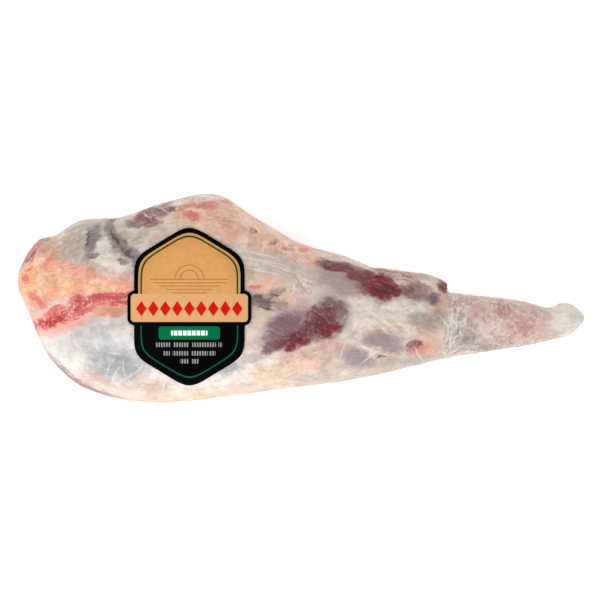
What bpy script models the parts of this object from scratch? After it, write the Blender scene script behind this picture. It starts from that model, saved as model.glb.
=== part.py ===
"""Raw leg of lamb, bone in and shank on, shut in a tight clear film with a printed label on its upper side.

Metres, +Z up. The leg lies on its flat outer side, as it would on a table: the rump is at -X, the
shank at +X, the back of the thigh at +Y and its front at -Y. The origin is the middle of the
bounding box at the height of the table.
"""

import math
from typing import NamedTuple

import bmesh
import bpy
import numpy as np
from mathutils import Matrix, Vector

MM = 0.001


class Rib(NamedTuple):
    """One cross-section of the wrapped leg, in millimetres: where it stands along the leg and how far it reaches."""

    x: float
    back: float  # +Y edge
    front: float  # -Y edge
    top: float
    under: float  # below 0 the leg is pressed flat by the table


RIBS = (
    Rib(-219.5, 12, 12, 46, 46),  # rump end, a point that the rounding closes on
    Rib(-215, 31.5, -1, 60, 28),
    Rib(-203, 47, -32, 75, 13),
    Rib(-190, 50, -51, 83, 5),
    Rib(-170, 62, -68, 89, 0),
    Rib(-140, 64.5, -78, 94, -4),
    Rib(-105, 76, -80.5, 98, -5),
    Rib(-66, 82, -77, 97, -5),
    Rib(-35, 64, -73, 92, -4),
    Rib(0, 44, -68.3, 84, -3),
    Rib(35, 34, -63.8, 75, -1),  # knee
    Rib(70, 19, -56.8, 66, 2),
    Rib(105, 7.5, -48, 58, 5),
    Rib(140, 3.5, -41.5, 51, 8),  # shank
    Rib(172, -1, -37, 46, 10),
    Rib(191, -6, -32.5, 41, 12),  # neck above the hock
    Rib(199, -1.5, -31, 40, 12),
    Rib(208, -2.5, -28, 38, 13),  # gathered film over the hock
    Rib(216, -8.5, -21, 32, 18),
    Rib(220, -15, -15, 25, 25),
)
ROWS_PER_RIB = 4
SEGMENTS = 40
WAIST = 0.42  # height of the widest place, as a share of the section's height
TOP_POWER = 2.35  # superellipse powers: 2 is an ellipse, more is flatter with rounder shoulders
UNDER_POWER = 2.7


class Swelling(NamedTuple):
    """A muscle or a fat pad that lifts the upper side, or a hollow where height is negative. Millimetres, degrees."""

    x: float
    y: float
    length: float
    width: float
    turn: float
    height: float


SWELLINGS = (
    Swelling(-168, 24, 34, 20, -18, 5.0),  # fat pad over the rump
    Swelling(-150, -44, 40, 22, -14, 3.5),  # outer thigh below the cut
    Swelling(-66, 58, 40, 14, 4, 2.5),  # back of the thigh
    Swelling(-22, -1, 16, 12, 0, -3.0),  # hollow beside the thigh bone
    Swelling(14, -24, 34, 15, 30, 2.5),  # inner thigh muscle
    Swelling(55, 12, 26, 9, -18, 2.5),  # muscle behind the knee
    Swelling(32, -50, 34, 10, 8, 1.5),  # fat over the knee
    Swelling(92, -18, 24, 10, -8, 1.5),  # shin muscle
)


class Crease(NamedTuple):
    """A straight valley between two lobes, from one point to another, in millimetres."""

    start: tuple
    end: tuple
    width: float
    depth: float


CREASES = (
    Crease((-210, -42), (-172, -17), 7, 4.5),  # cut across the rump, between the two lobes
    Crease((-172, -17), (-136, -7), 7, 4.0),
    Crease((36, 23), (108, 2), 6, 2.5),  # under the calf muscle
)

CALF_ROUTE = ((15, 15, 44), (48, 13, 44), (75, 10, 42), (96, 8.5, 40), (107, 7, 38.5), (113, 6, 38))
CALF_RADII = (10, 14.5, 14, 12.5, 10.5, 7)

LABEL_CENTRE = (-86, -5.6)
LABEL_HALF_WIDTH = 42.4
LABEL_SIDE_HALF = 39.7  # half the length of its upright sides
LABEL_APEX_HALF = 63.1  # centre to the sharp upper or lower corner
LABEL_ROUNDING = 15
BAND_HALF = (47.5, 13.3)
BAND_DROP = 1.0
BAND_ROUNDING = 5.5
LABEL_GAP = 0.4
LABEL_THICKNESS = 0.4
PRISM_TOP = 130

MEAT_COLOUR = (0.62, 0.47, 0.41, 1)
LABEL_COLOUR = (0.64, 0.33, 0.13, 1)


def clear_scene():
    for obj in list(bpy.data.objects):
        bpy.data.objects.remove(obj, do_unlink=True)


def collection(name):
    made = bpy.data.collections.new(name)
    bpy.context.scene.collection.children.link(made)
    return made


def material(name, colour, roughness):
    made = bpy.data.materials.new(name)
    made.use_nodes = True
    shader = made.node_tree.nodes["Principled BSDF"]
    shader.inputs["Base Color"].default_value = colour
    shader.inputs["Roughness"].default_value = roughness
    shader.inputs["Metallic"].default_value = 0
    return made


def new_object(name, mesh, home):
    made = bpy.data.objects.new(name, mesh)
    home.objects.link(made)
    return made


def turned_round(rib):
    """The rib reflected through the leg's end, so that the splines close on the end as a round."""
    return Rib(rib.x, rib.front, rib.back, rib.under, rib.top)


def rows_along_leg():
    """Ribs between the given ones, on Catmull-Rom splines through them, both end points included."""
    ribs = [turned_round(RIBS[1]), *RIBS, turned_round(RIBS[-2])]
    rows = []
    for before, here, there, after in zip(ribs, ribs[1:], ribs[2:], ribs[3:]):
        p0, p1, p2, p3 = (np.array(rib, float) for rib in (before, here, there, after))
        for step in range(ROWS_PER_RIB):
            t = step / ROWS_PER_RIB
            rows.append(
                0.5 * (
                    2 * p1
                    + (p2 - p0) * t
                    + (2 * p0 - 5 * p1 + 4 * p2 - p3) * t**2
                    + (3 * p1 - 3 * p2 + p3 - p0) * t**3
                )
            )
    rows.append(np.array(RIBS[-1], float))
    return [Rib(*row) for row in rows]


def signed_power(value, power):
    return math.copysign(abs(value) ** (2 / power), value)


def swelling_at(swelling, x, y):
    turn = math.radians(swelling.turn)
    along = (x - swelling.x) * math.cos(turn) + (y - swelling.y) * math.sin(turn)
    across = (y - swelling.y) * math.cos(turn) - (x - swelling.x) * math.sin(turn)
    return swelling.height * math.exp(-((along / swelling.length) ** 2) - (across / swelling.width) ** 2)


def crease_at(crease, x, y):
    start, end, point = Vector(crease.start), Vector(crease.end), Vector((x, y))
    along = end - start
    share = min(max((point - start).dot(along) / along.length_squared, 0), 1)
    off = (point - start - share * along).length
    return -crease.depth * math.exp(-((off / crease.width) ** 2))


def relief(x, y):
    """How far the upper side stands above a smooth leg, in millimetres. Creases that meet don't add up."""
    return sum(swelling_at(s, x, y) for s in SWELLINGS) + min(crease_at(c, x, y) for c in CREASES)


def skin_point(rib, angle):
    """A point of the wrapped leg's surface, in metres. Angle 0 is the back edge and a quarter turn is the top."""
    waist = rib.under + WAIST * (rib.top - rib.under)
    up = math.sin(angle)
    middle, half = (rib.back + rib.front) / 2, (rib.back - rib.front) / 2
    power = TOP_POWER if up > 0 else UNDER_POWER
    y = middle + half * signed_power(math.cos(angle), power)
    if up > 0:
        z = waist + (rib.top - waist) * signed_power(up, power) + up * relief(rib.x, y)
    else:
        z = max(waist + (waist - rib.under) * signed_power(up, power), 0)
    return Vector((rib.x, y, z)) * MM


def make_body(home):
    """The leg without its calf: a loft through the ribs, closed by a point at each end."""
    rows = rows_along_leg()
    shape = bmesh.new()
    angles = [math.tau * i / SEGMENTS for i in range(SEGMENTS)]
    rings = [[shape.verts.new(skin_point(row, angle)) for angle in angles] for row in rows[1:-1]]
    rump, hock = (shape.verts.new(skin_point(row, 0)) for row in (rows[0], rows[-1]))
    for ring, following in zip(rings, rings[1:]):
        for i in range(SEGMENTS):
            j = (i + 1) % SEGMENTS
            shape.faces.new((ring[i], ring[j], following[j], following[i]))
    for i in range(SEGMENTS):
        j = (i + 1) % SEGMENTS
        shape.faces.new((rump, rings[0][j], rings[0][i]))
        shape.faces.new((hock, rings[-1][i], rings[-1][j]))
    bmesh.ops.recalc_face_normals(shape, faces=shape.faces)
    mesh = bpy.data.meshes.new("wrapped_leg")
    shape.to_mesh(mesh)
    shape.free()
    return new_object("wrapped_leg", mesh, home)


def make_calf(home):
    """The calf muscle as a tapered rod, which ends in a cut stump clear of the shank."""
    curve = bpy.data.curves.new("calf_route", "CURVE")
    curve.dimensions = "3D"
    curve.resolution_u = 5
    curve.bevel_depth = MM
    curve.bevel_resolution = 4
    curve.use_fill_caps = True
    spline = curve.splines.new("NURBS")
    spline.points.add(len(CALF_ROUTE) - 1)
    spline.use_endpoint_u = True
    for point, place, radius in zip(spline.points, CALF_ROUTE, CALF_RADII):
        point.co = (*(Vector(place) * MM), 1)
        point.radius = radius
    guide = new_object("calf_route", curve, home)
    bpy.context.view_layer.update()
    mesh = bpy.data.meshes.new_from_object(guide.evaluated_get(bpy.context.evaluated_depsgraph_get()))
    shape = bmesh.new()
    shape.from_mesh(mesh)
    bmesh.ops.remove_doubles(shape, verts=shape.verts, dist=0.02 * MM)
    bmesh.ops.recalc_face_normals(shape, faces=shape.faces)
    shape.to_mesh(mesh)
    shape.free()
    bpy.data.objects.remove(guide)
    calf = new_object("calf", mesh, home)
    return as_helper(calf)


def as_helper(obj):
    obj.hide_render = True
    obj.display_type = "WIRE"
    return obj


def add_boolean(obj, other, operation):
    modifier = obj.modifiers.new(operation.lower(), "BOOLEAN")
    modifier.operation = operation
    modifier.solver = "EXACT"
    modifier.object = other


def evaluated_copy(obj, name):
    bpy.context.view_layer.update()
    graph = bpy.context.evaluated_depsgraph_get()
    mesh = bpy.data.meshes.new_from_object(obj.evaluated_get(graph))
    mesh.name = name
    return mesh


def rounded_prism(name, corners, rounding, home):
    """An upright prism on the outline given, with its upright edges rounded."""
    shape = bmesh.new()
    base = [shape.verts.new((x * MM, y * MM, 0)) for x, y in corners]
    face = shape.faces.new(base)
    raised = bmesh.ops.extrude_face_region(shape, geom=[face])["geom"]
    bmesh.ops.translate(
        shape, verts=[v for v in raised if isinstance(v, bmesh.types.BMVert)], vec=(0, 0, PRISM_TOP * MM)
    )
    upright = [e for e in shape.edges if abs(e.verts[0].co.z - e.verts[1].co.z) > MM]
    bmesh.ops.bevel(
        shape, geom=upright, offset=rounding * MM, offset_type="WIDTH", segments=6, profile=0.5, affect="EDGES"
    )
    bmesh.ops.recalc_face_normals(shape, faces=shape.faces)
    mesh = bpy.data.meshes.new(name)
    shape.to_mesh(mesh)
    shape.free()
    return as_helper(new_object(name, mesh, home))


def label_outlines(home):
    """The two prisms whose union, seen from above, is the label's outline: a tall hexagon and a wide band."""
    cx, cy = LABEL_CENTRE
    w, side, apex = LABEL_HALF_WIDTH, LABEL_SIDE_HALF, LABEL_APEX_HALF
    hexagon = [(w, -side), (w, side), (0, apex), (-w, side), (-w, -side), (0, -apex)]
    bw, bh = BAND_HALF
    band = [(bw, -bh), (bw, bh), (-bw, bh), (-bw, -bh)]
    return (
        rounded_prism("label_hexagon", [(cx + x, cy + y) for x, y in hexagon], LABEL_ROUNDING, home),
        rounded_prism("label_band", [(cx + x, cy - BAND_DROP + y) for x, y in band], BAND_ROUNDING, home),
    )


def make_label(leg, home, helpers):
    """The label: the leg's own upper skin, lifted by a small gap, thickened, and cut to the label's outline."""
    mesh = evaluated_copy(leg, "label")
    shape = bmesh.new()
    shape.from_mesh(mesh)
    shape.normal_update()
    bmesh.ops.delete(
        shape,
        geom=[
            f
            for f in shape.faces
            if f.normal.z < 0.15 or abs(f.calc_center_median().x - LABEL_CENTRE[0] * MM) > 2 * BAND_HALF[0] * MM
        ],
        context="FACES",
    )
    shape.normal_update()
    for vert in shape.verts:
        vert.co += vert.normal * LABEL_GAP * MM
    shape.to_mesh(mesh)
    shape.free()
    label = new_object("label", mesh, home)
    thicken = label.modifiers.new("thickness", "SOLIDIFY")
    thicken.thickness = LABEL_THICKNESS * MM
    thicken.offset = 1
    hexagon, band = label_outlines(helpers)
    add_boolean(hexagon, band, "UNION")
    add_boolean(label, hexagon, "INTERSECT")
    return label


def stand_on_origin(objects):
    """Moves every mesh so that the middle of the underside of their common bounding box is the origin."""
    bpy.context.view_layer.update()
    graph = bpy.context.evaluated_depsgraph_get()
    corners = [Vector(c) for obj in objects for c in obj.evaluated_get(graph).bound_box]
    low = Vector(map(min, *corners))
    high = Vector(map(max, *corners))
    shift = Matrix.Translation((-(low.x + high.x) / 2, -(low.y + high.y) / 2, -low.z))
    for obj in bpy.data.objects:
        if obj.type == "MESH":
            obj.data.transform(shift)


def main():
    clear_scene()
    parts = collection("leg_of_lamb")
    helpers = collection("cutters")
    leg = make_body(parts)
    add_boolean(leg, make_calf(helpers), "UNION")
    leg.modifiers.new("same_facets_as_label", "TRIANGULATE")
    label = make_label(leg, parts, helpers)
    stand_on_origin([leg, label])
    for obj, colour, roughness in ((leg, MEAT_COLOUR, 0.35), (label, LABEL_COLOUR, 0.5)):
        obj.data.materials.clear()
        obj.data.materials.append(material(obj.name, colour, roughness))
        obj.data.shade_smooth()
        obj.data.set_sharp_from_angle(angle=math.radians(35))


main()
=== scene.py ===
"""A raw leg of lamb, the clear film shrunk round it and the printed label on top."""

import math
from typing import NamedTuple

import bpy
import numpy as np
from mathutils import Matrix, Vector, noise


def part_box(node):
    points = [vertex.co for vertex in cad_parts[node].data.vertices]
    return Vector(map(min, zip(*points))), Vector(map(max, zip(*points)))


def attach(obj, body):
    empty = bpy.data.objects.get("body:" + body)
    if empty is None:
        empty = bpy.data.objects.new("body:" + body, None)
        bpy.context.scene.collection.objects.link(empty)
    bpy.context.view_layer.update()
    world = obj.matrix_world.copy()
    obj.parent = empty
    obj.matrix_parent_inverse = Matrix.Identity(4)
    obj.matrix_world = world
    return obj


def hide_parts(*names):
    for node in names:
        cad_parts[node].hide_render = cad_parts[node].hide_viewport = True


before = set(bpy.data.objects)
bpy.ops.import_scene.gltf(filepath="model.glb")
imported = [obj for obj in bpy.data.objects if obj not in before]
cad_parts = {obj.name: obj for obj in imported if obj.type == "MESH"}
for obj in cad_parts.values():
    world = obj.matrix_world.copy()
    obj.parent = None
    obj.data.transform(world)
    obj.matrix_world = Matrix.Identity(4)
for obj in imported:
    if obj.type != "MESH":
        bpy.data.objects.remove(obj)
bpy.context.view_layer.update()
bpy.ops.object.select_all(action="DESELECT")

MM = 0.001

# ---- The meat ---------------------------------------------------------------------------------
# A whole leg from rump to shank, with the bone in. Raw muscle shows dark through gaps in the white
# fell and fat that cover it; the rump end is cut, and the shank is thin, pink and wrinkled.

MEAT_SPACING = 1.4 * MM
ROUNDING_PASSES = 14
MEAT_DEPTH = 1.0
LEAST_DEPTH = 0.2
MEAT_FLOOR = 0.8
LUMP_SIZES_AND_HEIGHTS = ((22, 0.5), (7, 0.3), (3.2, 0.12))
SHANK_START = 108.0
SHANK_FULL = 150.0
SHANK_CRUMPLE = 0.8
CRUMPLE_SIZE = 9
CRUMPLE_MIDDLE = 0.3


def srgb(red, green, blue):
    """A colour given as 0 to 255 on a screen, as the numbers that a shader takes."""
    def linear(part):
        part /= 255
        return part / 12.92 if part <= 0.04045 else ((part + 0.055) / 1.055) ** 2.4
    return (linear(red), linear(green), linear(blue), 1.0)


class Patch(NamedTuple):
    """Meat of one colour: its share over what is under it, how fibrous its edge is, how far it stands
    out in mm, and its spots, each an ellipse of x, y, half length, half width, turn in degrees and
    softness of the edge."""
    colour: tuple
    share: float
    fibrous: float
    rise: float
    spots: tuple


CREAM_FAT = srgb(216, 204, 192)
PINK_FAT = srgb(214, 180, 164)
WHITE_FAT = srgb(242, 234, 226)
PEACH_FAT = srgb(238, 176, 130)
RED_MEAT = srgb(118, 8, 22)
WINE_MEAT = srgb(112, 46, 60)
DARK_MEAT = srgb(76, 14, 24)
LILAC_MEAT = srgb(118, 86, 94)

COVER_PATCHES = (
    # broad tones
    Patch(WHITE_FAT, 0.9, 0.2, 0.0, (
        (-185, -42, 24, 18, -40, 0.7), (-117, -40, 46, 25, 0, 0.7), (-60, -58, 40, 18, 5, 0.7))),
    Patch(srgb(196, 190, 184), 0.7, 0.2, 0.0, ((-141, -31, 36, 16, -8, 0.8),)),
    Patch(srgb(204, 204, 206), 0.75, 0.2, -0.2, ((-150, -36, 42, 15, -6, 0.9), (-70, -50, 22, 10, 0, 0.9))),
    Patch(srgb(156, 159, 162), 0.9, 0.3, -0.2, ((-142, -51, 22, 12, -10, 0.9), (-60, -52, 12, 6, 0, 0.9))),
    Patch(srgb(228, 209, 192), 0.9, 0.2, 0.0, (
        (-140, -74, 40, 6, -12, 0.6), (-80, -76, 40, 6, 0, 0.6), (-30, -69, 30, 7, 6, 0.6),
        (-196, -50, 5, 16, 35, 0.6))),
    Patch(srgb(232, 186, 156), 0.85, 0.3, 0.0, (
        (-40, 54, 38, 14, -22, 0.6), (-75, 64, 27, 12, 0, 0.6), (-1, 35, 23, 8, -20, 0.6))),
    Patch(srgb(222, 198, 188), 0.8, 0.2, 0.0, ((-67, 77, 30, 4, 0, 0.8), (30, 37, 30, 3, -16, 0.7))),
    Patch(srgb(204, 190, 178), 0.85, 0.5, -0.1, ((-21, 23, 30, 11, -15, 0.6), (10, 14, 18, 10, -10, 0.6))),
    Patch(srgb(226, 217, 205), 0.9, 0.4, 0.2, ((53, -11, 31, 12, 10, 0.6), (84, -12, 12, 6, 0, 0.6))),
    Patch(srgb(236, 207, 174), 0.85, 0.2, 0.0, ((-22, -58, 18, 8, 5, 0.6), (-78, -76, 31, 4, -3, 0.6))),
    Patch(srgb(205, 188, 174), 0.85, 0.2, 0.0, ((25, -58, 34, 7, 8, 0.6), (75, -50, 26, 5, 11, 0.6))),
    Patch(srgb(184, 166, 150), 0.8, 0.4, 0.0, ((-156, 59, 6, 4, 10, 0.6), (-171, 54, 9, 9, 0, 0.8))),
    Patch(srgb(212, 160, 128), 0.95, 0.3, 0.2, ((-188, 45, 13, 9, 40, 0.6), (-194, 35, 13, 9, 0, 0.7))),
    Patch(srgb(188, 162, 150), 0.85, 0.4, 0.0, ((79, 22, 23, 6, -12, 0.7),)),
    # the shank
    Patch(srgb(214, 190, 178), 0.95, 0.5, 0.0, ((155, -14, 46, 24, -3, 0.4),)),
    Patch(srgb(170, 156, 147), 0.85, 0.7, -0.2, (
        (95, -18, 14, 7, -10, 0.6), (108, -11, 7, 6, 0, 0.6), (123, -28, 12, 12, 0, 0.7),
        (133, -38, 19, 4, 5, 0.6))),
    Patch(srgb(218, 174, 166), 0.8, 0.5, 0.0, ((172, -23, 14, 12, 0, 0.7), (137, -9, 23, 7, -8, 0.8))),
    Patch(srgb(186, 112, 108), 0.5, 1.4, 0.0, (
        (171, -21, 9, 9, 0, 0.7), (153, -8, 10, 4, -20, 0.6), (122, -4, 9, 3, 0, 0.6))),
    Patch(srgb(227, 219, 207), 0.95, 0.2, 0.0, ((208, -16, 17, 17, 0, 0.5),)),
    # the rump end
    Patch(srgb(186, 175, 160), 0.85, 0.4, 0.0, ((-158, 42, 30, 17, -8, 0.6), (-128, 50, 18, 10, 10, 0.6))),
    Patch(srgb(230, 222, 212), 0.85, 0.4, 0.1, ((-146, 28, 15, 6, -20, 0.7), (-152, 38, 5, 10, 0, 0.7))),
    # the fat pad at the rump
    Patch(PEACH_FAT, 0.95, 0.45, 1.1, (
        (-192, 13, 27, 14, -4, 0.35), (-157, 9, 32, 7, -7, 0.35), (-209, 8, 11, 12, 20, 0.5),
        (-200, 25, 12, 7, -15, 0.4))),
    Patch(srgb(226, 178, 142), 0.8, 0.4, 0.0, ((-190, 13, 12, 6, 0, 0.8), (-178, 18, 6, 4, 0, 0.8))),
    Patch(srgb(242, 164, 140), 0.75, 0.8, 0.2, (
        (-196, 28, 8, 5, -20, 0.6), (-175, 23, 17, 3, -14, 0.6), (-155, 15, 20, 3, -12, 0.6),
        (-134, 5, 9, 4, 0, 0.6), (-202, -4, 11, 4, 20, 0.6))),
    Patch(srgb(236, 96, 76), 0.9, 0.5, 0.1, ((-213, 15, 2.4, 4, 40, 0.8), (-210, 22, 3, 2, 20, 0.8))),
)

MEAT_PATCHES = (
    # the tear between the pad and the lobe under it
    Patch(srgb(240, 164, 146), 0.85, 0.8, -0.3, (
        (-186, -17, 26, 9, 20, 0.6), (-155, -5, 27, 9, 6, 0.6), (-202, -21, 12, 9, 0, 0.7))),
    Patch(srgb(206, 146, 114), 0.85, 0.9, -0.3, ((-149, -8, 15, 5, 5, 0.5), (-142, -11, 6, 3, 0, 0.5))),
    Patch(srgb(200, 54, 42), 0.9, 1.5, -0.7, (
        (-200, -20, 12, 4, 10, 0.8), (-185, -15, 13, 5, 22, 0.8), (-172, -6, 11, 7, 35, 0.7),
        (-159, -1, 12, 5, 5, 0.8), (-138, 0, 10, 5, 10, 0.8), (-145, 2, 10, 4, 5, 0.8))),
    Patch(srgb(146, 26, 26), 0.6, 2.0, 0.0, (
        (-196, -19, 8, 2.4, 10, 0.9), (-184, -14, 9, 3, 22, 0.9), (-168, -6, 10, 6, 30, 0.8),
        (-157, 0, 9, 2.4, 5, 0.9), (-139, 0, 7, 3.6, 10, 0.9))),
    Patch(srgb(206, 92, 84), 0.8, 1.0, 0.0, (
        (-203, -2, 8, 2.4, -35, 0.7), (-190, -10, 9, 2, 30, 0.7), (-163, -8, 10, 2, 20, 0.7))),
    # the cut edge, and marks in the fell above the pad
    Patch(srgb(196, 104, 92), 0.95, 0.8, -0.6, ((-208, 38, 14, 4.6, 58, 0.5), (-200, 50, 7, 3, 35, 0.6))),
    Patch(srgb(112, 46, 46), 0.8, 1.6, 0.0, (
        (-206, 36, 11, 1.5, 55, 0.7), (-196, 46, 7, 1.2, 38, 0.7), (-213, 27, 4, 1.4, 70, 0.7))),
    Patch(srgb(122, 106, 110), 0.85, 0.7, -0.4, (
        (-161, 45, 12, 4.6, 75, 0.8), (-147, 54, 9, 4.4, -75, 0.8), (-141, 43, 11, 5.4, -55, 0.8),
        (-131, 34, 10, 5.4, -35, 0.7), (-125, 25, 6, 5, -50, 0.8), (-130, 57, 7, 2.6, -20, 0.8),
        (-137, 28, 5, 2, -15, 0.7), (-161, 33, 5, 1.5, 5, 0.6))),
    Patch(srgb(78, 62, 70), 0.85, 1.0, -0.4, (
        (-147, 60, 3, 2, -75, 0.7), (-144, 46, 6, 1.6, -60, 0.7), (-133, 34, 6, 2, -40, 0.7),
        (-165, 46, 5, 1.4, 75, 0.7))),
    Patch(srgb(138, 78, 80), 0.9, 0.8, -0.9, (
        (-121, 64, 11, 4.5, 38, 0.6), (-108, 67, 10, 4, 20, 0.6), (-117, 58, 9, 3, 5, 0.6),
        (-105, 73, 7, 2.5, 15, 0.6))),
    Patch(srgb(112, 40, 46), 0.9, 1.2, 0.0, (
        (-121, 65, 7, 2.6, 38, 0.7), (-109, 68, 7, 2.4, 20, 0.7), (-117, 60, 5, 1.6, 5, 0.7),
        (-100, 69, 4, 1.6, -10, 0.7))),
    Patch(srgb(202, 104, 90), 0.85, 1.2, -0.1, (
        (-85, 63, 8, 3.4, -8, 0.9), (-74, 72, 12, 2.5, 0, 0.9), (-56, 74, 7, 1.6, -8, 0.9),
        (-90, 70, 5, 1.6, 10, 0.9), (-66, 63, 2.5, 1, 0, 0.8), (3, 37, 5, 1.5, 10, 0.9),
        (-11, 38, 5, 1.5, -10, 0.9), (-5, 40, 6, 0.8, -14, 0.9), (-55, 60, 6, 0.8, -20, 0.9))),
    Patch(srgb(146, 66, 64), 0.8, 1.6, -0.2, ((-21, 43, 4.5, 1.6, 15, 0.9), (-38, 51, 2.4, 2, 0, 0.9))),
    # loose fat, and a hollow beside the label painted darker towards its core as shade
    Patch(srgb(212, 182, 158), 0.85, 0.5, 0.3, ((-14, 5, 9, 8, 0, 0.8),)),
    Patch(srgb(228, 184, 160), 0.7, 0.8, 0.3, ((-28, 10, 14, 7, 20, 0.9),)),
    Patch(srgb(234, 168, 142), 0.7, 1.2, 0.3, (
        (-33, 9, 9, 2.6, 20, 0.9), (-25, 14, 6, 2, 50, 0.9), (-27, 5, 6, 1.4, 10, 0.9))),
    Patch(srgb(206, 108, 94), 0.85, 1.0, 0.0, ((-36, 9, 5, 1.8, 15, 0.7),)),
    # painted shade in the hollow, greyer at its rim and darkest at its core
    Patch(srgb(152, 128, 120), 0.85, 0.6, -1.2, (
        (-31, -2, 11, 7, -10, 0.9), (-20, 4, 8, 3, 35, 0.9), (-17, -5, 7, 4, -20, 0.9))),
    Patch(srgb(98, 78, 76), 0.8, 1.0, 0.0, ((-30, -3, 7, 3.6, -14, 0.8), (-21, 1, 4, 1.6, 30, 0.8))),
    Patch(srgb(60, 46, 46), 0.6, 0.8, 0.0, ((-27, -8.5, 7, 1.3, -14, 0.7), (-34, 1, 4, 1, 20, 0.7))),
    Patch(srgb(216, 192, 174), 0.9, 0.4, 0.5, ((-28, -15.5, 7.5, 4.6, 5, 0.6),)),
    Patch(srgb(176, 162, 162), 0.7, 0.5, 0.0, ((-37, -45, 11, 4, 10, 0.7), (22, -2, 12, 8, 0, 0.7))),
    # muscle seen through gaps in the fell
    Patch(srgb(158, 136, 140), 0.85, 0.6, -0.2, (
        (-12, -22, 22, 12, 30, 0.8), (22, -16, 16, 13, 20, 0.8), (30, 12, 17, 8, -20, 0.8),
        (60, 8, 17, 11, -18, 0.6))),
    Patch(LILAC_MEAT, 0.9, 0.6, -0.3, (
        (-14, -22, 16, 9, 30, 0.7), (-21, -36, 10, 5, 25, 0.7), (26, -8, 11, 7, -20, 0.8),
        (24, 25, 11, 4, -5, 0.7), (4, -26, 16, 9, 20, 0.7))),
    Patch(srgb(136, 108, 108), 0.9, 0.6, -0.4, ((89, 4, 15, 6, -12, 0.6), (102, 0, 5, 5.5, 0, 0.6))),
    Patch(srgb(104, 74, 78), 0.7, 0.8, 0.0, ((81, 6, 5, 3, -12, 0.8), (101, 1, 3, 3, 0, 0.8))),
    Patch(WINE_MEAT, 0.9, 0.6, -0.6, (
        (18, -20, 12, 11, 30, 0.7), (14, -12, 12, 7, 10, 0.8), (-4, -31, 17, 6.5, 22, 0.8),
        (58, 9, 17, 10, -16, 0.5), (44, 18, 13, 6.5, -20, 0.6), (28, 24, 16, 4.5, -15, 0.7))),
    Patch(RED_MEAT, 0.85, 0.8, 0.0, (
        (22, -25, 9, 6, 30, 0.8), (-2, -35, 10, 2.8, 22, 0.8), (61, 8, 12, 9, -15, 0.5),
        (46, 16, 11, 4, -20, 0.8), (33, 22, 13, 3, -15, 0.8), (72, 5, 4.5, 4.5, 0, 0.6))),
    Patch(DARK_MEAT, 0.45, 0.8, 0.0, (
        (12, -18, 10, 6, 20, 0.8), (-8, -32, 10, 3.5, 22, 0.8), (63, 6, 8, 5, -10, 0.8))),
    Patch(srgb(150, 134, 142), 0.85, 0.5, -0.2, (
        (62, -32, 15, 6, -5, 0.7), (42, -45, 14, 7, -20, 0.7), (69, -38, 9, 4, -10, 0.7))),
    Patch(srgb(96, 76, 76), 0.8, 0.8, -0.3, ((62, -45, 4, 1, 5, 0.5), (-26, -8, 3, 1, 10, 0.4))),
    # the knee and the calf
    Patch(srgb(172, 160, 152), 0.7, 0.6, 0.0, ((100, -46, 16, 4, 12, 0.8), (72, -50, 14, 3.4, 12, 0.8))),
    Patch(srgb(138, 122, 116), 0.6, 1.4, 0.0, (
        (116, -6, 9, 1.6, -80, 0.8), (112, -24, 11, 1.8, -84, 0.8), (121, -20, 10, 1.8, 80, 0.8),
        (127, -33, 9, 2, 30, 0.8), (109, -14, 8, 1.6, 84, 0.8), (140, -39, 14, 1.6, 8, 0.8))),
    Patch(srgb(208, 168, 142), 0.85, 0.4, 0.2, ((110, -3, 6, 7, -20, 0.5), (101, -38, 7, 5.5, 0, 0.7))),
    Patch(srgb(164, 104, 98), 0.8, 0.5, -0.9, (
        (64, 21, 12, 0.8, -14, 0.5), (79, 17, 8, 0.8, -15, 0.5), (93, 10.5, 8, 0.8, -25, 0.5),
        (84, 12, 14, 0.7, -17, 0.5))),
    Patch(srgb(156, 92, 82), 0.85, 0.8, -0.3, ((86, -36, 7, 5, 20, 0.5),)),
    Patch(srgb(206, 126, 106), 0.7, 1.2, 0.0, ((93, -40, 6, 3, 40, 0.9), (84, -42, 4, 1.6, 10, 0.8))),
    Patch(srgb(140, 56, 54), 0.8, 1.0, 0.0, ((88, -35, 5, 3, 30, 0.8),)),
    Patch(srgb(134, 62, 58), 0.95, 0.8, -0.5, ((110, 10, 5, 7, 20, 0.5),)),
    Patch(srgb(84, 26, 28), 0.8, 1.6, 0.0, ((109, 11, 3.4, 5, 20, 0.8),)),
    Patch(srgb(238, 196, 176), 0.8, 0.3, 0.2, ((4, -52, 11, 4.5, 5, 0.6), (-48, -71, 10, 3, -8, 0.6))),
)

UNDER_PATCHES = (
    Patch(WHITE_FAT, 0.85, 0.3, 0.0, ((-130, 0, 70, 50, 0, 0.8), (-30, -10, 50, 34, -10, 0.8))),
    Patch(PEACH_FAT, 0.7, 0.5, 0.0, (
        (-196, 20, 22, 24, 0, 0.7), (-60, 60, 40, 12, -6, 0.7), (60, 10, 30, 12, -15, 0.7))),
    Patch(LILAC_MEAT, 0.85, 0.7, -0.3, (
        (40, -34, 34, 10, -4, 0.9), (-20, 40, 30, 8, -20, 0.9), (-170, -40, 16, 12, 30, 0.9))),
    Patch(RED_MEAT, 0.9, 0.8, -0.4, (
        (50, -36, 22, 5, -4, 0.9), (-206, -12, 8, 18, 10, 0.7), (-12, 38, 16, 4, -20, 0.9))),
    Patch(srgb(208, 182, 170), 0.8, 0.5, 0.0, ((150, -14, 44, 22, -3, 0.5),)),
)


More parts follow.
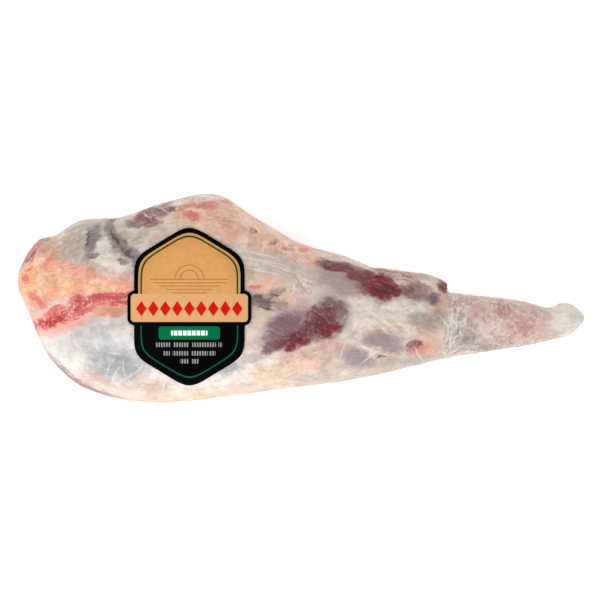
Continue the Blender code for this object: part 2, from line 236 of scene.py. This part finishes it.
def own_copy_of_the_leg(name, spacing):
    """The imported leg's skin as a new piece: an even mesh with the facets smoothed away."""
    piece = bpy.data.objects.new(name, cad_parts["wrapped_leg"].data.copy())
    piece.data.materials.clear()
    bpy.context.collection.objects.link(piece)
    bpy.ops.object.select_all(action="DESELECT")
    bpy.context.view_layer.objects.active = piece
    piece.select_set(True)
    bpy.ops.object.mode_set(mode="EDIT")
    bpy.ops.mesh.select_all(action="SELECT")
    bpy.ops.mesh.remove_doubles(threshold=0.00001)
    bpy.ops.object.mode_set(mode="OBJECT")
    even = piece.modifiers.new("even_mesh", "REMESH")
    even.mode = "VOXEL"
    even.voxel_size = spacing
    bpy.ops.object.modifier_apply(modifier=even.name)
    rounded = piece.modifiers.new("rounded", "SMOOTH")
    rounded.iterations = ROUNDING_PASSES
    bpy.ops.object.modifier_apply(modifier=rounded.name)
    return piece


def points_and_normals(piece):
    """The points of a piece in mm, and its normals."""
    points = np.empty(len(piece.data.vertices) * 3)
    piece.data.vertices.foreach_get("co", points)
    normals = np.empty(len(points))
    piece.data.vertex_normals.foreach_get("vector", normals)
    return points.reshape(-1, 3) / MM, normals.reshape(-1, 3)


def move_points(piece, points):
    """Gives a piece its new points, in mm."""
    piece.data.vertices.foreach_set("co", (points * MM).ravel())
    piece.data.update()


def step(value, low, high):
    """0 below low and 1 above high, with a smooth way between."""
    share = np.clip((value - low) / (high - low), 0, 1)
    return share * share * (3 - 2 * share)


MIDDLE_OF_RUMP = 46.0
TAPER_START = -60.0
TAPER = 0.076
SIDES_MEET = (-14, -2)


def on_upper_side(points):
    """1 at each point on the leg's upper side and 0 under it."""
    widest = MIDDLE_OF_RUMP - TAPER * np.maximum(points[:, 0] - TAPER_START, 0)
    return step(points[:, 2] - widest, *SIDES_MEET)


def spot_share(points, spot):
    """How much of a spot there is at each point, from 0 to 1."""
    x, y, length, width, turn, edge = spot
    angle = math.radians(turn)
    across, up = points[:, 0] - x, points[:, 1] - y
    along = (across * math.cos(angle) + up * math.sin(angle)) / length
    side = (up * math.cos(angle) - across * math.sin(angle)) / width
    return 1 - step(np.hypot(along, side), 1 - edge, 1 + edge)


def rise_of(patches, points):
    """How far the patches stand out at each point, in mm."""
    total = np.zeros(len(points))
    for patch in patches:
        if patch.rise:
            total += patch.rise * np.max([spot_share(points, spot) for spot in patch.spots], axis=0)
    return total


def lumps(points, size, height):
    """Soft lumps of a given size and height, in mm, at each point."""
    return np.array([noise.noise(Vector(point) / size) for point in points]) * height


def crumple(points, size):
    """Sharp-edged crumples of a size in mm, about 0.3 up and down, at each point."""
    ridges = [noise.ridged_multi_fractal(Vector(point) / size, 1.0, 2.0, 3, 1.0, 2.0) for point in points]
    return np.array(ridges) * 0.35 - CRUMPLE_MIDDLE


meat = own_copy_of_the_leg("lamb_meat", MEAT_SPACING)
points, normals = points_and_normals(meat)
upper = on_upper_side(points)
relief = upper * rise_of(COVER_PATCHES + MEAT_PATCHES, points)
relief += (1 - upper) * rise_of(UNDER_PATCHES, points)
relief += sum(lumps(points, size, height) for size, height in LUMP_SIZES_AND_HEIGHTS)
relief += step(points[:, 0], SHANK_START, SHANK_FULL) * crumple(points, CRUMPLE_SIZE) * SHANK_CRUMPLE
points += normals * (np.minimum(relief, MEAT_DEPTH - LEAST_DEPTH) - MEAT_DEPTH)[:, None]
points[:, 2] = np.maximum(points[:, 2], MEAT_FLOOR)
move_points(meat, points)
bpy.ops.object.shade_smooth()


class Wire:
    """The output of a node in a material, which can be used in a sum."""

    def __init__(self, tree, socket=None):
        self.tree = tree
        self.socket = socket

    def add(self, kind, settings=None, inputs=None, output=0):
        """Adds a node of any kind, and returns the wire that comes out of it."""
        node = self.tree.nodes.new(kind)
        for name, value in (settings or {}).items():
            setattr(node, name, value)
        for name, value in (inputs or {}).items():
            if isinstance(value, Wire):
                self.tree.links.new(value.socket, node.inputs[name])
            else:
                node.inputs[name].default_value = value
        return Wire(self.tree, node.outputs[output])

    def math(self, operation, *others):
        return self.add("ShaderNodeMath", {"operation": operation}, dict(enumerate((self, *others))))

    def __add__(self, other):
        return self.math("ADD", other)

    def __radd__(self, other):
        return self + other

    def __sub__(self, other):
        return self.math("SUBTRACT", other)

    def __rsub__(self, other):
        return self.add("ShaderNodeMath", {"operation": "SUBTRACT"}, {0: other, 1: self})

    def __mul__(self, other):
        return self.math("MULTIPLY", other)

    def __rmul__(self, other):
        return self * other

    def __pow__(self, other):
        return self.math("POWER", other)

    def __abs__(self):
        return self.math("ABSOLUTE")

    def step(self, low, high):
        """0 below low and 1 above high, with a smooth way between."""
        return self.add("ShaderNodeMapRange", {"interpolation_type": "SMOOTHSTEP"},
                        {"Value": self, "From Min": low, "From Max": high})

    def vector(self, operation, *others):
        """Vector maths; a length or a dot product comes out as a number."""
        output = 1 if operation in ("LENGTH", "DOT_PRODUCT") else 0
        inputs = dict(enumerate((self, *others)))
        return self.add("ShaderNodeVectorMath", {"operation": operation}, inputs, output)

    def frame_of(self, centre, size, turn=0.0):
        """This place as seen from a centre, in a frame turned by some degrees and stretched to a size."""
        return self.add("ShaderNodeMapping", {"vector_type": "TEXTURE"}, {
            "Vector": self, "Location": centre, "Rotation": (0, 0, math.radians(turn)), "Scale": size})

    def grain(self, size, detail=2.0, rough=0.5, output=0):
        """Noise whose lumps are about size mm wide, from 0 to 1; output 1 is three noises in one."""
        return self.add("ShaderNodeTexNoise", None, {
            "Vector": self, "Scale": 1 / size, "Detail": detail, "Roughness": rough}, output)

    def mix(self, colour, share, blend="MIX"):
        """This colour with a share of another one over it."""
        settings = {"data_type": "RGBA", "blend_type": blend}
        return self.add("ShaderNodeMix", settings, {0: share, 6: self, 7: colour}, 2)


def new_material(name):
    """A bare material: its tree's output node, and a wire of the place on the piece in mm."""
    material = bpy.data.materials.new(name)
    material.use_nodes = True
    tree = material.node_tree
    tree.nodes.clear()
    output = tree.nodes.new("ShaderNodeOutputMaterial")
    place = Wire(tree).add("ShaderNodeTexCoord", output=3).vector("MULTIPLY", (1 / MM, 1 / MM, 1 / MM))
    return material, output, place


def unevenly(place, size, reach, detail=2.0, rough=0.5):
    """The place moved about by up to reach mm, in lumps of a size, so that edges drawn there wander."""
    wander = place.grain(size, detail, rough, output=1).vector("SUBTRACT", (0.5, 0.5, 0.5))
    return place.vector("ADD", wander.vector("MULTIPLY", (reach, reach, reach)))


def spot_wire(place, spot):
    """The share of a spot, as a wire."""
    x, y, length, width, turn, edge = spot
    reach = 1 + edge
    near = place.frame_of((x, y, 0), (length * reach, width * reach, 1e6), turn)
    ball = near.add("ShaderNodeTexGradient", {"gradient_type": "SPHERICAL"}, {"Vector": near}, 1)
    return ball.step(0, 2 * edge / reach)


def patch_wire(place, patch, torn):
    """The share of a patch, its edge broken up by fibres."""
    share = spot_wire(place, patch.spots[0])
    for spot in patch.spots[1:]:
        share = share.math("MAXIMUM", spot_wire(place, spot))
    if patch.fibrous:
        share = (share * (1 + torn * patch.fibrous)).step(0.1, 0.9)
    return share


def upper_side(place):
    """1 on the leg's upper side and 0 under it, as a wire."""
    along = place.vector("DOT_PRODUCT", (1, 0, 0))
    height = place.vector("DOT_PRODUCT", (0, 0, 1))
    above_widest = height - MIDDLE_OF_RUMP + (along - TAPER_START).math("MAXIMUM", 0.0) * TAPER
    return above_widest.step(*SIDES_MEET)


def paint(skin, patches, place, torn, side):
    """Paints patches over the skin's colour, on one side of the leg."""
    for patch in patches:
        skin = skin.mix(patch.colour, patch_wire(place, patch, torn) * side * patch.share)
    return skin


def crease_lines(place, size, width, detail):
    """Thin wandering lines, about size mm apart."""
    return 1 - abs(place.grain(size, detail, 0.6) - 0.5).step(0, width)


LOWER_RIM = (-170, -66, 34, 14, -38, 0.6)
CRINKLE = (0, 9, 10, 8, 30, 0.6)
CALM_LOBE = (-130, -48, 60, 34, 0, 0.6)
CALM_TIP = (208, -16, 22, 24, 0, 0.5)
SHANK_EDGE = 16

meat_finish, output, place = new_material("lamb_meat")
ragged = unevenly(place, 10, 13, 6, 0.68)
flow = unevenly(unevenly(place, 60, 50, 1), 3, 3, 3, 0.6)
fibres = flow.frame_of((0, 0, 0), (14, 2.4, 4), 14).grain(1, 4, 0.58)
strands = flow.frame_of((0, 0, 0), (9, 1.6, 3), -24).grain(1, 3, 0.6)
mottle = place.grain(18, 3, 0.55).step(0.38, 0.62)
cloud = place.vector("ADD", (90, 40, 10)).grain(8, 5, 0.65).step(0.42, 0.62)
bloom = place.vector("ADD", (10, 70, 30)).grain(13, 5, 0.6).step(0.5, 0.68)
blush = place.vector("ADD", (50, 20, 80)).grain(20, 4, 0.6).step(0.48, 0.66)
speckle = ragged.grain(2.2, 4, 0.65)
torn = (fibres + speckle - 1) * 2.4
crinkled = spot_wire(place, CRINKLE)
tip = spot_wire(place, CALM_TIP)
lively = 1 - 0.6 * spot_wire(place, CALM_LOBE) - 0.8 * tip
shank = place.vector("DOT_PRODUCT", (1, 0, 0)).step(SHANK_START, SHANK_START + SHANK_EDGE)
veined = (shank - tip).math("MAXIMUM", 0.0)
soft = unevenly(place, 12, 10, 2)
veins = crease_lines(soft, 5, 0.045, 2) * place.grain(14, 3).step(0.42, 0.6)
crumple_painted_shade = crease_lines(soft.vector("ADD", (40, 7, 0)), 7, 0.03, 3)
facing = place.add("ShaderNodeNewGeometry", output=1).vector("DOT_PRODUCT", (0, 0, 1))
edge_on_painted_shade = 1 - abs(facing).step(0.0, 0.34)
rim = 1 - abs(facing).step(0.22, 0.42)
top = upper_side(place)

# the cover of fat and fell, with its stains, bloom and fibres
skin = place.add("ShaderNodeMix", {"data_type": "RGBA"}, {0: mottle, 6: CREAM_FAT, 7: PINK_FAT}, 2)
skin = paint(skin, COVER_PATCHES, ragged, torn, top)
skin = skin.mix(srgb(206, 200, 202), cloud * 0.4, "MULTIPLY")
skin = skin.mix(srgb(246, 206, 192), blush * 0.14, "MULTIPLY")
skin = skin.mix(srgb(252, 242, 232), bloom * 0.35)
skin = skin.mix(srgb(206, 194, 190), (0.5 - fibres).step(0.0, 0.22) * 0.34 * lively, "MULTIPLY")
skin = skin.mix(srgb(210, 198, 192), (0.5 - speckle).step(0.0, 0.24) * 0.24 * lively, "MULTIPLY")
skin = skin.mix(srgb(255, 248, 240), fibres.step(0.54, 0.7) * 0.24 * lively)
# the meat that shows in it, with the grain of the muscle
skin = paint(skin, MEAT_PATCHES, ragged, torn, top)
skin = paint(skin, UNDER_PATCHES, ragged, torn, 1 - top)
skin = skin.mix(srgb(196, 170, 170), strands.step(0.5, 0.7) * 0.24, "MULTIPLY")
skin = skin.mix(srgb(240, 214, 212), (0.5 - strands).step(0.0, 0.2) * 0.13)
skin = skin.mix(srgb(255, 246, 238), speckle.step(0.55, 0.7) * 0.05)
# veins on the shank with painted shadows in its crumples, crinkled silverskin with painted shade in its
# creases, painted shade on what turns edge on, and the wine line on the lower rim
skin = skin.mix(srgb(150, 84, 82), veins * veined * 0.6)
# painted shade: the shadows in the shank's crumples, drawn as thin dark lines
skin = skin.mix(srgb(136, 116, 106), crumple_painted_shade * veined * 0.55)
# painted shade in the creases of the crinkled silverskin
skin = skin.mix(srgb(124, 100, 92), crease_lines(place, 4, 0.05, 3) * crinkled * 0.55)
skin = skin.mix(srgb(246, 236, 228), crease_lines(flow, 5, 0.05, 3) * crinkled * 0.6)
# painted shade: every surface that turns edge on is darkened
skin = skin.mix(srgb(226, 200, 192), edge_on_painted_shade * 0.6, "MULTIPLY")
skin = skin.mix(srgb(140, 74, 78), rim * spot_wire(ragged, LOWER_RIM) * 0.85)

swell = fibres * 0.35 + speckle * 0.12 + cloud * 0.2
dents = place.add("ShaderNodeBump", None, {"Height": swell, "Strength": 0.5, "Distance": 0.6 * MM})
shader = place.add("ShaderNodeBsdfPrincipled", None, {
    "Base Color": skin, "Roughness": 0.34 + 0.2 * mottle, "Normal": dents, "Subsurface Weight": 0.12,
    "Subsurface Scale": 2 * MM, "Specular IOR Level": 0.15})
meat_finish.node_tree.links.new(shader.socket, output.inputs["Surface"])
meat.data.materials.append(meat_finish)
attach(meat, "root")
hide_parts("wrapped_leg")

# ---- The film ---------------------------------------------------------------------------------
# A clear film bag, drawn tight on the meat by vacuum. It lies flat on the thigh, creases where it
# bridges hollows, crumples along the thin shank and is gathered to a knob past the shank's end.

FILM_SPACING = 1.7 * MM
FILM_LIFT = 0.25
FILM_FLOOR = 0.2
FILM_CRUMPLE = 0.7
CRUMPLE_START = 92
FOLDS = (
    ((-148, -50), (-150, -60)), ((-143, -54), (-145, -66)), ((-142, -55), (-139, -51)),
    ((-137, -48), (-136, -62)), ((-128, -58), (-122, -50)), ((-135, -61), (-128, -57)),
    ((-104, -62), (-108, -71)), ((-185, -25), (-183, -28)), ((-178, -48), (-176, -50)),
    ((-158, -35), (-156, -40)), ((116, 3), (116, -9)), ((116, -9), (114, -22)), ((108, -15), (115, -27)),
    ((115, -27), (114, -42)), ((122, -25), (124, -29)), ((106, -40), (113, -45)), ((39, -32), (56, -42)),
    ((56, -42), (45, -51)), ((32, -36), (30, -45)), ((63, -17), (74, -25)), ((68, -14), (82, -25)),
    ((59, -20), (69, -29)), ((74, -40), (82, -46)), ((83, -31), (79, -35)), ((86, -37), (94, -49)),
    ((29, -31), (37, -28)), ((-42, 36), (-20, 31)), ((-41, 31), (-13, 25)), ((-42, 23), (-20, 18)),
    ((-30, 27), (0, 18)), ((44, -12), (58, -22)), ((50, -8), (66, -19)), ((-98, -66), (-92, -74)),
    ((-124, 67), (-116, 60)), ((-112, 71), (-103, 66)), ((-119, 71), (-111, 74)), ((-100, 71), (-92, 73)),
)
FOLD_WIDTH = 0.7
FOLD_RISE = 0.4
FOLD_EDGE = 0.7


def fold_spot(fold):
    """A fold as a long thin spot."""
    (x0, y0), (x1, y1) = fold
    return ((x0 + x1) / 2, (y0 + y1) / 2, math.hypot(x1 - x0, y1 - y0) / 2, FOLD_WIDTH,
            math.degrees(math.atan2(y1 - y0, x1 - x0)), FOLD_EDGE)


def fold_height(points):
    """How much of a fold there is at each point, from 0 to 1."""
    return np.max([spot_share(points, fold_spot(fold)) for fold in FOLDS], axis=0)


film = own_copy_of_the_leg("clear_film", FILM_SPACING)
bpy.ops.object.mode_set(mode="EDIT")
bpy.ops.mesh.select_all(action="DESELECT")
bpy.ops.object.mode_set(mode="OBJECT")
points, normals = points_and_normals(film)
folded = fold_height(points)
for face in film.data.polygons:
    corners = list(face.vertices)
    face.select = bool(points[corners, 0].min() > SHANK_START or folded[corners].max() > 0)
bpy.ops.object.mode_set(mode="EDIT")
bpy.ops.mesh.subdivide(number_cuts=1)
bpy.ops.object.mode_set(mode="OBJECT")
points, normals = points_and_normals(film)
lift = FILM_LIFT + fold_height(points) * on_upper_side(points) * FOLD_RISE
lift += step(points[:, 0], CRUMPLE_START, SHANK_FULL) * crumple(points, CRUMPLE_SIZE) * FILM_CRUMPLE
points += normals * lift[:, None]
points[:, 2] = np.maximum(points[:, 2], FILM_FLOOR)
move_points(film, points)
bpy.ops.object.shade_smooth()

CREASES_START = (100, 124)
TIP_START = (192, 206)
GATHER = (117, -24, 7, 24, -4, 0.8)
MOST_HAZE_AND_HIGHLIGHT = 0.62

film_finish, output, place = new_material("clear_film")
wavy = unevenly(place, 12, 4)
fold_share = spot_wire(wavy, fold_spot(FOLDS[0]))
for fold in FOLDS[1:]:
    fold_share = fold_share.math("MAXIMUM", spot_wire(wavy, fold_spot(fold)))
top = upper_side(place)
along = place.vector("DOT_PRODUCT", (1, 0, 0))
shank = along.step(*CREASES_START) * (1 - 0.8 * along.step(*TIP_START))
crushed = unevenly(place, 7, 7, 4, 0.6).frame_of((0, 0, 0), (7, 3.2, 5), 58)
facets = crushed.add("ShaderNodeTexVoronoi", None, {"Vector": crushed, "Scale": 1.0}, 1)
facets = facets.vector("DOT_PRODUCT", (1, 0, 0))
soft = unevenly(place, 16, 8, 1)
web = crease_lines(soft.frame_of((0, 0, 0), (0.6, 1.7, 1), 64), 9, 0.03, 1.5)
web = web.math("MAXIMUM", crease_lines(soft.frame_of((30, 0, 0), (0.6, 1.8, 1), -32), 10, 0.025, 1.5))
web = web.math("MAXIMUM", crease_lines(soft.frame_of((0, 50, 0), (2.4, 0.7, 1), 14), 8, 0.02, 1.5))
web = web * place.grain(9, 2).step(0.36, 0.56)
gathered = spot_wire(wavy, GATHER)
pleats = crease_lines(soft.frame_of((0, 0, 0), (0.45, 4, 1), -6), 8, 0.05, 2)
crumpled = shank * 0.7 + gathered * 0.6
# the film's white: real milky haze where it is crumpled and gathered, and painted highlight along its folds
# and crease lines
creased = crumpled * (0.02 + 0.1 * facets + 0.45 * web)
haze_and_painted_highlight = fold_share * top * 0.36 + creased + gathered * pleats * 0.6 + web * 0.02
ripple = place.add("ShaderNodeBump", None, {
    "Height": facets * (0.15 + crumpled) + pleats * gathered, "Strength": 0.7, "Distance": 0.5 * MM})
clear = place.add("ShaderNodeBsdfTransparent")
gloss = place.add("ShaderNodeBsdfGlossy", None, {"Roughness": 0.16, "Normal": ripple})
shine = place.add("ShaderNodeFresnel", None, {"IOR": 1.45, "Normal": ripple}).math("MINIMUM", 0.2) * 0.42
bare = place.add("ShaderNodeMixShader", None, {0: shine, 1: clear, 2: gloss})
milky_haze_and_highlight = place.add("ShaderNodeBsdfPrincipled", None, {
    "Base Color": srgb(240, 236, 232), "Roughness": 0.3, "Normal": ripple})
shader = place.add("ShaderNodeMixShader", None, {0: haze_and_painted_highlight.math("MINIMUM", MOST_HAZE_AND_HIGHLIGHT), 1: bare, 2: milky_haze_and_highlight})
film_finish.node_tree.links.new(shader.socket, output.inputs["Surface"])
film.data.materials.append(film_finish)
film.visible_shadow = False
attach(film, "root")

# ---- The label --------------------------------------------------------------------------------
# A printed film label stuck on the thigh: a tall hexagon, tan above and black below, crossed by a
# wider band. Its print is plain fields, rules and lozenges.

label_low, label_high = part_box("label")
LABEL_CENTRE = (label_low + label_high) / 2 / MM
HALF_WIDTH = 42.4
APEX_HALF = 63.4
SLANT = math.radians(31.4)
APEX_ROUNDING = 15.4
SIDE_ROUNDING = 14.0
BAND_HALF = (47.5, 13.3)
BAND_CORNER = 5.5
BAND_DROP = 1.0
LABEL_GAP = 0.35
LABEL_THICKNESS = 0.25
EDGE_POINTS = 360
RINGS = 48
HALVINGS = 40
ABOVE_ALL = 140.0


def larger(a, b, blend=0.0):
    """The larger of two, rounded where they meet, for numbers and for wires."""
    if isinstance(a, Wire):
        return a.math("SMOOTH_MAX", b, blend)
    meet = np.maximum(blend - np.abs(a - b), 0) / max(blend, 1e-9)
    return np.maximum(a, b) + meet ** 3 * blend / 6


def hexagon_edge(x, y):
    """How far outside the hexagon a place is, in mm; less than 0 is inside."""
    up = abs(y) * math.cos(SLANT)
    roof = larger(up + x * math.sin(SLANT), up - x * math.sin(SLANT), APEX_ROUNDING)
    return larger(roof - APEX_HALF * math.cos(SLANT), abs(x) - HALF_WIDTH, SIDE_ROUNDING)


def band_edge(x, y):
    """How far outside the band a place is, in mm."""
    return box_edge(x, y + BAND_DROP, BAND_HALF, BAND_CORNER)


def box_edge(x, y, half, corner):
    """How far outside a box with round corners a place is, in mm."""
    across = larger(abs(x) - (half[0] - corner), 0 * x)
    up = larger(abs(y) - (half[1] - corner), 0 * y)
    return (across * across + up * up) ** 0.5 - corner


def outline_edge(x, y):
    """How far outside the label's outline a place is, in mm."""
    return np.minimum(hexagon_edge(x, y), band_edge(x, y))


def reach_of_outline(angle):
    """How far the outline is from the label's middle in a direction, found by halving."""
    near, far = 0.0, 2 * APEX_HALF
    for _ in range(HALVINGS):
        middle = (near + far) / 2
        if outline_edge(middle * math.cos(angle), middle * math.sin(angle)) > 0:
            far = middle
        else:
            near = middle
    return near


bpy.ops.mesh.primitive_circle_add(vertices=EDGE_POINTS, radius=1)
label = bpy.context.active_object
label.name = "label_print"
for vertex in label.data.vertices:
    reach = reach_of_outline(math.atan2(vertex.co.y, vertex.co.x))
    vertex.co = vertex.co.normalized() * reach * MM
bpy.ops.object.mode_set(mode="EDIT")
bpy.ops.mesh.select_all(action="SELECT")
for ring in range(RINGS, 1, -1):
    bpy.ops.mesh.extrude_edges_move()
    bpy.ops.transform.resize(value=((ring - 1) / ring,) * 3, center_override=(0, 0, 0))
bpy.ops.mesh.edge_face_add()
bpy.ops.mesh.poke()
bpy.ops.mesh.select_all(action="SELECT")
bpy.ops.mesh.normals_make_consistent(inside=False)
bpy.ops.object.mode_set(mode="OBJECT")
points, normals = points_and_normals(label)
if normals[:, 2].mean() < 0:
    label.data.flip_normals()
move_points(label, points + (LABEL_CENTRE[0], LABEL_CENTRE[1], ABOVE_ALL))
former = own_copy_of_the_leg("label_former", FILM_SPACING)
bpy.ops.object.select_all(action="DESELECT")
bpy.context.view_layer.objects.active = label
label.select_set(True)
drape = label.modifiers.new("drape", "SHRINKWRAP")
drape.target = former
drape.wrap_method = "PROJECT"
drape.use_project_z = True
drape.use_negative_direction = True
drape.use_positive_direction = False
drape.offset = (FILM_LIFT + LABEL_GAP) * MM
bpy.ops.object.modifier_apply(modifier=drape.name)
thick = label.modifiers.new("thickness", "SOLIDIFY")
thick.thickness = LABEL_THICKNESS * MM
thick.offset = 1
bpy.ops.object.modifier_apply(modifier=thick.name)
bpy.data.objects.remove(former)
bpy.ops.object.shade_smooth()

TAN = srgb(215, 159, 97)
BAND_TAN = srgb(214, 164, 112)
BLACK = srgb(1, 2, 2)
PRINT_EDGE = 0.18
BORDER = 3.3
UPPER_PIN_LINE = (5.5, 1.3)
LOWER_PIN_LINE = (5.4, 1.0)
HORIZON = 21.0
HORIZON_RULE = (30, 0.8)
SUN_RULES = ((7, 0.8), (11, 0.7))
WATER_RULES = 4
WATER_PITCH = 2.6
WATER_RULE_WIDTH = 0.7
BAR_DROP = 20.2
BAR_HALF = (23.5, 5.0)
BAR_WORD_HALF = (14.0, 1.9)
SMALL_PRINT = ((29.2, 25.5), (35.8, 20.0), (41.9, 7.0))
SMALL_PRINT_HALF = 1.7
BAND_BORDER = 2.6
DIAMONDS = 9
DIAMOND_PITCH = 9.2
DIAMOND_DROP = 1.5

label_finish, output, place = new_material("label_print")
middle = place.vector("SUBTRACT", tuple(LABEL_CENTRE))
x = middle.vector("DOT_PRODUCT", (1, 0, 0))
y = middle.vector("DOT_PRODUCT", (0, 1, 0))


def inside(edge, by=0.0):
    """1 where a place lies inside an outline by more than some mm, with a crisp edge."""
    return (-1 * edge - by).step(-PRINT_EDGE, PRINT_EDGE)


def rule(edge, at, width):
    """A printed line of a width that follows an outline at some mm inside it."""
    return 1 - abs(edge + at).step(width / 2 - PRINT_EDGE, width / 2 + PRINT_EDGE)


hexagon = hexagon_edge(x, y)
band = band_edge(x, y)
above = y.step(-0.2, 0.2)
paper = place.grain(5, 3, 0.6)
tan_field = above * inside(hexagon, BORDER)
printed = place.add("ShaderNodeMix", {"data_type": "RGBA"}, {0: tan_field, 6: BLACK, 7: TAN}, 2)
printed = printed.mix(srgb(200, 144, 86), tan_field * (paper - 0.4).step(0, 0.3) * 0.5)
printed = printed.mix(srgb(196, 140, 84), tan_field * hexagon.step(-15, -4) * 0.6)
printed = printed.mix(srgb(26, 72, 14), rule(hexagon, *UPPER_PIN_LINE) * above)
printed = printed.mix(srgb(12, 84, 66), rule(hexagon, *LOWER_PIN_LINE) * (1 - above))

# a half sun over water
sun = (x * x + (y - HORIZON) * (y - HORIZON)) ** 0.5
drawn = rule(y, -HORIZON, HORIZON_RULE[1]) * inside(abs(x), -HORIZON_RULE[0])
for radius, width in SUN_RULES:
    drawn = drawn.math("MAXIMUM", rule(sun, -radius, width) * (y - HORIZON).step(0, 0.3))
for row in range(WATER_RULES):
    ripple = rule(y, WATER_PITCH * (row + 1) - HORIZON, WATER_RULE_WIDTH)
    drawn = drawn.math("MAXIMUM", ripple * inside(abs(x), 5 * row - 28))
printed = printed.mix(srgb(150, 100, 52), drawn * 0.7)

# the green bar, and small bars in rows instead of words
printed = printed.mix(srgb(0, 106, 66), inside(box_edge(x, y + BAR_DROP, BAR_HALF, 2.0)))
bars = (x * 1.8).math("COSINE").step(-0.95, -0.75)
printed = printed.mix(srgb(236, 240, 236), inside(box_edge(x, y + BAR_DROP, BAR_WORD_HALF, 0.6)) * bars)
bars = (x * 3.2).math("SINE").step(-0.6, 0.2)
for drop, reach in SMALL_PRINT:
    words = (x * 0.9 + drop).math("SINE").math("ADD", (x * 0.37 + drop).math("SINE")).step(-1.3, -1.1)
    line = inside(box_edge(x, y + drop, (reach, SMALL_PRINT_HALF), 0.4))
    printed = printed.mix(srgb(150, 152, 150), line * words * bars * 0.9)

# the band with its row of diamonds
printed = printed.mix(BLACK, inside(band) * (1 - tan_field))
on_band = inside(band, BAND_BORDER)
printed = printed.mix(BAND_TAN, on_band)
across = (x + DIAMOND_PITCH / 2 * DIAMONDS).math("MODULO", DIAMOND_PITCH) - DIAMOND_PITCH / 2
diamond = 1 - (abs(across) * 0.82 + abs(y + DIAMOND_DROP) * 0.57).step(3.25, 3.55)
printed = printed.mix(srgb(204, 22, 18), on_band * diamond * inside(abs(x), -42))

shader = place.add("ShaderNodeBsdfPrincipled", None, {
    "Base Color": printed, "Roughness": 0.5, "Specular IOR Level": 0.02})
label_finish.node_tree.links.new(shader.socket, output.inputs["Surface"])
label.data.materials.append(label_finish)
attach(label, "root")
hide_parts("label")

# ---- Table, lamps and camera ------------------------------------------------------------------
# A plain near-white table, soft light from all round with a large lamp in front on the left, and
# a long lens that looks straight down.

TABLE_GLOW = 0.45
ROOM_LIGHT = 0.76
LAMPS = (("key", (-0.5, -0.6, 1.5), 0.9, 10.5), ("spark", (-0.45, -0.7, 1.0), 0.12, 1.2))

bpy.ops.mesh.primitive_plane_add(size=8, location=(0, 0, 0))
table = bpy.context.active_object
table.name = "table"
table_finish = bpy.data.materials.new("table")
table_finish.use_nodes = True
table_shader = table_finish.node_tree.nodes["Principled BSDF"]
table_shader.inputs["Base Color"].default_value = srgb(250, 250, 250)
table_shader.inputs["Roughness"].default_value = 0.9
table_shader.inputs["Emission Color"].default_value = (1, 1, 1, 1)
table_shader.inputs["Emission Strength"].default_value = TABLE_GLOW
table.data.materials.append(table_finish)

world = bpy.data.worlds.new("studio")
world.use_nodes = True
world.node_tree.nodes["Background"].inputs["Color"].default_value = (1, 1, 1, 1)
world.node_tree.nodes["Background"].inputs["Strength"].default_value = ROOM_LIGHT
bpy.context.scene.world = world

for name, spot, size, watts in LAMPS:
    bpy.ops.object.light_add(type="AREA", location=spot)
    lamp = bpy.context.active_object
    lamp.name = name
    lamp.data.size = size
    lamp.data.energy = watts
    lamp.rotation_euler = (-Vector(spot)).to_track_quat("-Z", "Y").to_euler()

LENS = 900
SENSOR_WIDTH = 36
VIEW_WIDTH = 462 * MM
VIEW_CENTRE = (-1.4 * MM, -1.4 * MM)
VIEW_LEVEL = 45 * MM
bpy.ops.object.camera_add(location=(*VIEW_CENTRE, VIEW_LEVEL + VIEW_WIDTH * LENS / SENSOR_WIDTH))
camera = bpy.context.active_object
camera.data.lens = LENS
camera.data.sensor_width = SENSOR_WIDTH
bpy.context.scene.camera = camera
bpy.context.scene.view_settings.view_transform = "Standard"
